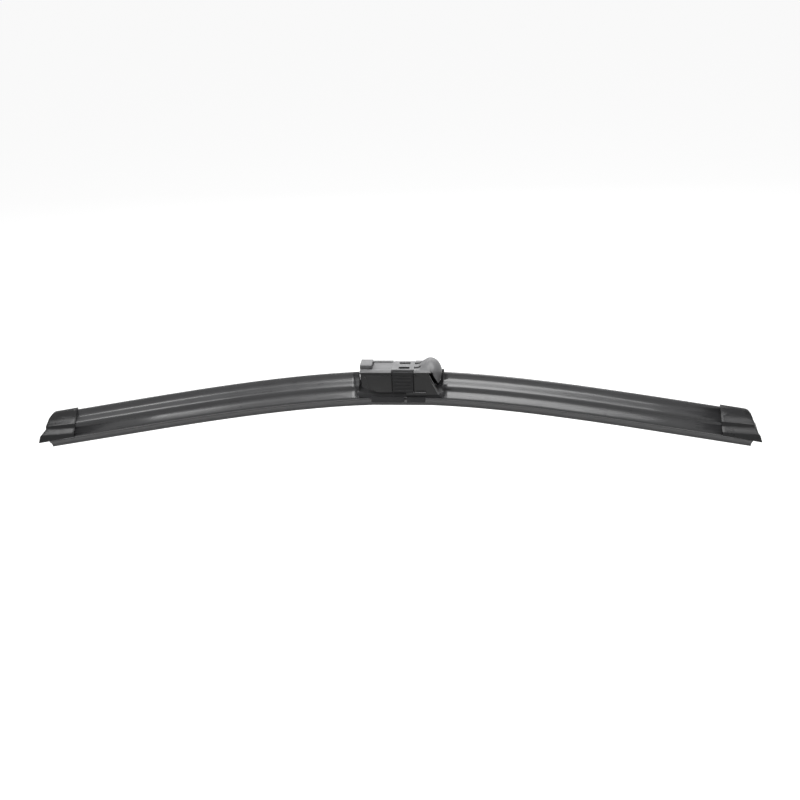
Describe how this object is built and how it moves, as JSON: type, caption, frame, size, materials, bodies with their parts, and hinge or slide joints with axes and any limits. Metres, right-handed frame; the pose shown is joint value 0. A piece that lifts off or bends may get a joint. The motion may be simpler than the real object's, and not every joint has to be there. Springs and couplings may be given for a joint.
{
  "type": "windscreen wiper blade",
  "caption": "Bowed flat wiper blade with ribbed spoilers, a wiping rubber on two spring rails, end caps and a clip-on arm adapter with pinch buttons.",
  "frame": {"origin": "middle of the adapter's flat top, where the wiper arm's channel sits", "axes": "+X along the blade towards its shorter arm and the adapter's round nose, +Y across the blade towards the side the fin leans to, +Z away from the glass"},
  "size_m": [0.4861, 0.02, 0.0664],
  "materials": {
    "adapter_plastic": "dark grey moulded plastic, satin",
    "button_plastic": "black moulded plastic, fine grain",
    "cover_plastic": "black moulded plastic, matt",
    "cap_plastic": "black moulded plastic, satin",
    "spoiler_rubber": "black extruded elastomer, satin",
    "wiper_rubber": "coated rubber, matt",
    "painted_steel": "black paint, satin",
    "spring_steel": "bright steel",
    "bush_plastic": "natural plain-bearing plastic"
  },
  "bodies": {
    "adapter": {"adapter_body": "adapter_plastic", "pivot_bush": "bush_plastic", "button_spring_front": "spring_steel", "button_spring_rear": "spring_steel"},
    "button_front": {"side_button_front": "button_plastic"},
    "button_rear": {"side_button_rear": "button_plastic"},
    "blade": {"pivot_pin": "spring_steel", "base_bracket": "painted_steel", "base_cover": "cover_plastic", "rail_front": "spring_steel", "rail_rear": "spring_steel", "rail_bridge_left": "spring_steel", "rail_bridge_right": "spring_steel", "wiping_rubber": "wiper_rubber", "spoiler_left": "spoiler_rubber", "spoiler_right": "spoiler_rubber", "end_cap_left": "cap_plastic", "end_cap_right": "cap_plastic"}
  },
  "joints": [
    {"name": "blade_rock", "type": "hinge", "parent": "adapter", "child": "blade", "pos_m": [0.002, 0, -0.0086], "axis": [0, 1, 0], "range_deg": [-8, 8]},
    {"name": "front_button_press", "type": "slide", "parent": "adapter", "child": "button_front", "axis": [0, 1, 0], "range_m": [0, 0.0015], "stiffness_N_per_m": 1500, "deforming": ["button_spring_front"]},
    {"name": "rear_button_press", "type": "slide", "parent": "adapter", "child": "button_rear", "axis": [0, -1, 0], "range_m": [0, 0.0015], "stiffness_N_per_m": 1500, "deforming": ["button_spring_rear"]}
  ]
}
